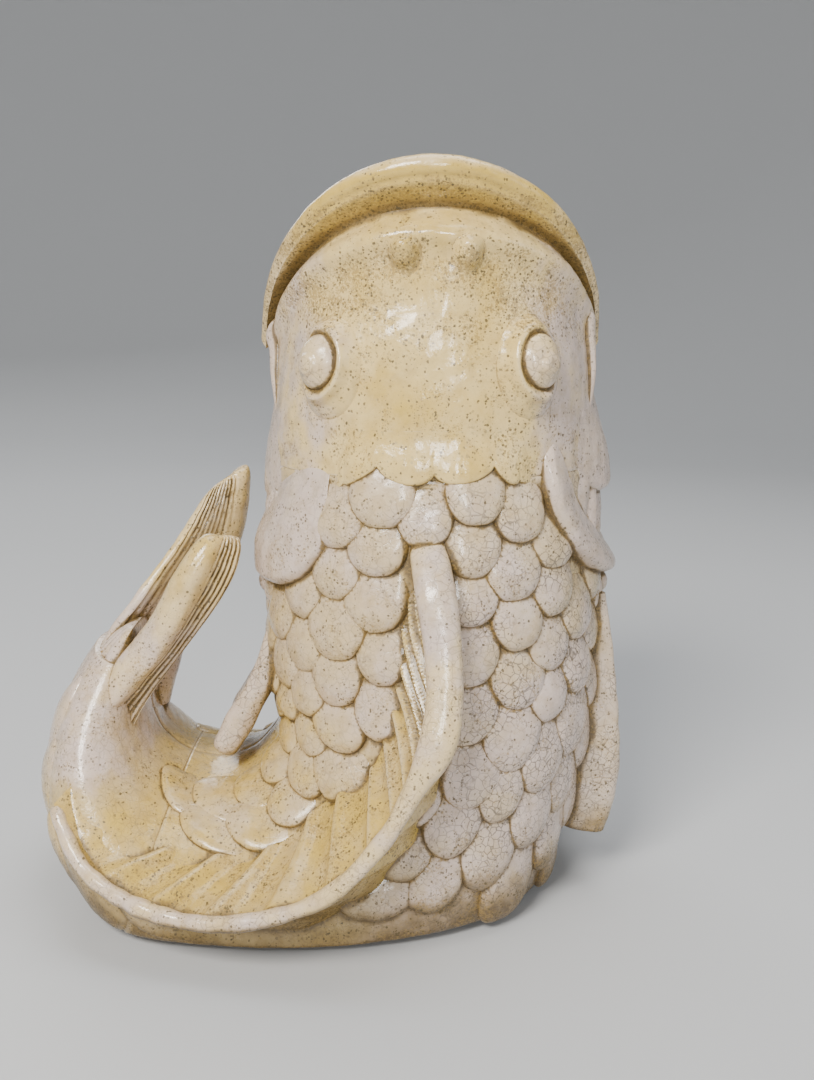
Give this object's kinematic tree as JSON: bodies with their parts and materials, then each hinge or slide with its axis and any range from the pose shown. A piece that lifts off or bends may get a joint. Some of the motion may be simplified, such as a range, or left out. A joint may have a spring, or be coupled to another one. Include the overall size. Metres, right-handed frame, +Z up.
{
  "type": "carp umbrella stand",
  "caption": "Crackle-glazed stoneware umbrella stand shaped as a carp standing on its curled body, mouth open upward and forked tail rising beside the trunk",
  "frame": {"origin": "on the ground, at the centre of the plan bounding box", "axes": "+Z up the standing trunk, toward the open mouth; -Y toward the dorsal side with the fin crest; -X toward the curled tail"},
  "size_m": [0.4575, 0.3509, 0.5536],
  "materials": {
    "bisque_foot": "matte unglazed clay",
    "glaze_scale": "crackle glaze, satin",
    "glaze_head": "crackle glaze, gloss, iron speckle",
    "glaze_pale": "crackle glaze, gloss",
    "glaze_ochre": "crackle glaze, gloss, pooled ochre",
    "glaze_grey": "crackle glaze, satin, lavender grey"
  },
  "bodies": {
    "root": {"foot_slab": "bisque_foot", "head_shell_front": "glaze_head", "head_shell_rear": "glaze_head", "trunk_shell_front": "glaze_ochre", "trunk_shell_rear": "glaze_ochre", "curl_shell_front": "glaze_ochre", "curl_shell_rear": "glaze_ochre", "tail_shell_front": "glaze_ochre", "tail_shell_rear": "glaze_ochre", "upper_lip": "glaze_pale", "lower_lip": "glaze_pale", "barbel_left": "glaze_grey", "barbel_right": "glaze_grey", "nostril_left": "glaze_head", "nostril_right": "glaze_head", "eyelid_left": "glaze_head", "eyelid_right": "glaze_head", "eyeball_left": "glaze_pale", "eyeball_right": "glaze_pale", "nape_apron": "glaze_head", "cheek_left": "glaze_grey", "cheek_right": "glaze_grey", "gill_fringe_left": "glaze_grey", "gill_fringe_right": "glaze_grey", "gill_cover_left": "glaze_grey", "gill_cover_right": "glaze_grey", "fin_knob_left": "glaze_grey", "fin_knob_right": "glaze_grey", "pectoral_fin_left": "glaze_grey", "pectoral_fin_right": "glaze_grey", "dorsal_fin_web": "glaze_ochre", "dorsal_fin_crest": "glaze_pale", "caudal_root": "glaze_pale", "caudal_lobe_front": "glaze_pale", "caudal_lobe_rear": "glaze_pale", "scales_01": "glaze_scale", "scales_02": "glaze_scale", "scales_03": "glaze_scale", "scales_04": "glaze_scale", "scales_05": "glaze_scale", "scales_06": "glaze_scale", "scales_07": "glaze_scale", "scales_08": "glaze_scale", "scales_09": "glaze_scale", "scales_10": "glaze_scale", "scales_11": "glaze_scale", "scales_12": "glaze_scale", "scales_13": "glaze_scale", "scales_14": "glaze_scale", "scales_15": "glaze_scale", "scales_16": "glaze_scale", "scales_17": "glaze_scale"}
  },
  "joints": []
}
